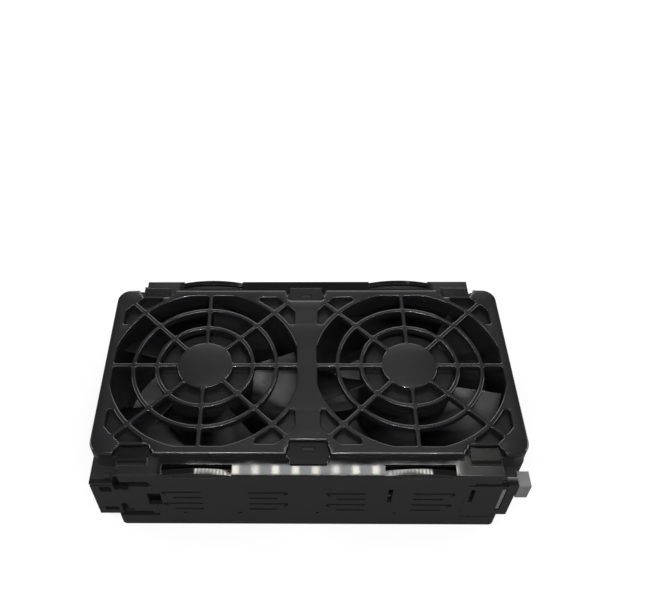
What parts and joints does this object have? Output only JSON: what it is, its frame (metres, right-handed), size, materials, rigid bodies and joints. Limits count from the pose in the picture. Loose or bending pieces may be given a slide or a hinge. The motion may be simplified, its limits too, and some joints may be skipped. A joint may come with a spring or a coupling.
{
  "type": "server fan module",
  "caption": "Hot-swap server cooling module: axial fans side by side in one moulded housing with a clip-on finger guard, sprung latch arms and a side plug.",
  "frame": {"origin": "middle of the underside, on the rib between the two round outlets", "axes": "+X along the row of fans towards the plug, +Y towards the rear wall, +Z out of the intake grille"},
  "size_m": [0.1904, 0.11, 0.0505],
  "materials": {
    "housing_black": "finely textured black moulding",
    "cover_black": "satin black moulding",
    "fan_black": "smooth black moulding",
    "blade_black": "satin black moulding",
    "plug_grey": "mid grey moulding",
    "contact_metal": "plated contacts",
    "steel": "machined steel",
    "magnet_dark": "bonded magnet, dark grey",
    "core_steel": "laminated sheet",
    "copper_wire": "enamelled copper",
    "board_green": "coated circuit board",
    "soft_rubber": "soft black rubber",
    "cable_black": "black cable sheath"
  },
  "bodies": {
    "module": {"housing": "housing_black", "grille_cover": "cover_black", "connector_housing": "plug_grey", "connector_contacts": "contact_metal", "fan_frame_left": "fan_black", "isolation_ring_top_left": "soft_rubber", "isolation_ring_bottom_left": "soft_rubber", "bearing_top_left": "steel", "bearing_bottom_left": "steel", "bearing_tube_left": "fan_black", "stator_core_left": "core_steel", "stator_coils_left": "copper_wire", "motor_board_left": "board_green", "preload_washer_left": "steel", "fan_lead_left": "cable_black", "fan_frame_right": "fan_black", "isolation_ring_top_right": "soft_rubber", "isolation_ring_bottom_right": "soft_rubber", "bearing_top_right": "steel", "bearing_bottom_right": "steel", "bearing_tube_right": "fan_black", "stator_core_right": "core_steel", "stator_coils_right": "copper_wire", "motor_board_right": "board_green", "preload_washer_right": "steel", "fan_lead_right": "cable_black"},
    "rotor_left": {"impeller_left": "blade_black", "rotor_yoke_left": "steel", "magnet_ring_left": "magnet_dark", "shaft_left": "steel", "shaft_clip_left": "steel"},
    "rotor_right": {"impeller_right": "blade_black", "rotor_yoke_right": "steel", "magnet_ring_right": "magnet_dark", "shaft_right": "steel", "shaft_clip_right": "steel"},
    "latch_front_left": {"latch_arm_front_left": "housing_black"},
    "latch_front_right": {"latch_arm_front_right": "housing_black"},
    "latch_rear_left": {"latch_arm_rear_left": "housing_black"},
    "latch_rear_right": {"latch_arm_rear_right": "housing_black"}
  },
  "joints": [
    {"name": "fan_spin_left", "type": "hinge", "parent": "module", "child": "rotor_left", "pos_m": [-0.0475, 0, 0.03], "axis": [0, 0, 1], "continuous": true},
    {"name": "fan_spin_right", "type": "hinge", "parent": "module", "child": "rotor_right", "pos_m": [0.0475, 0, 0.03], "axis": [0, 0, 1], "continuous": true},
    {"name": "latch_flex_front_left", "type": "hinge", "parent": "module", "child": "latch_front_left", "pos_m": [-0.068, -0.054, 0.023], "axis": [0, 0, -1], "range_deg": [0, 4], "stiffness_Nm_per_rad": 0.5},
    {"name": "latch_flex_front_right", "type": "hinge", "parent": "module", "child": "latch_front_right", "pos_m": [0.0693, -0.054, 0.023], "axis": [0, 0, 1], "range_deg": [0, 4], "stiffness_Nm_per_rad": 0.5},
    {"name": "latch_flex_rear_left", "type": "hinge", "parent": "module", "child": "latch_rear_left", "pos_m": [-0.068, 0.054, 0.023], "axis": [0, 0, 1], "range_deg": [0, 4], "stiffness_Nm_per_rad": 0.5},
    {"name": "latch_flex_rear_right", "type": "hinge", "parent": "module", "child": "latch_rear_right", "pos_m": [0.0693, 0.054, 0.023], "axis": [0, 0, -1], "range_deg": [0, 4], "stiffness_Nm_per_rad": 0.5}
  ]
}
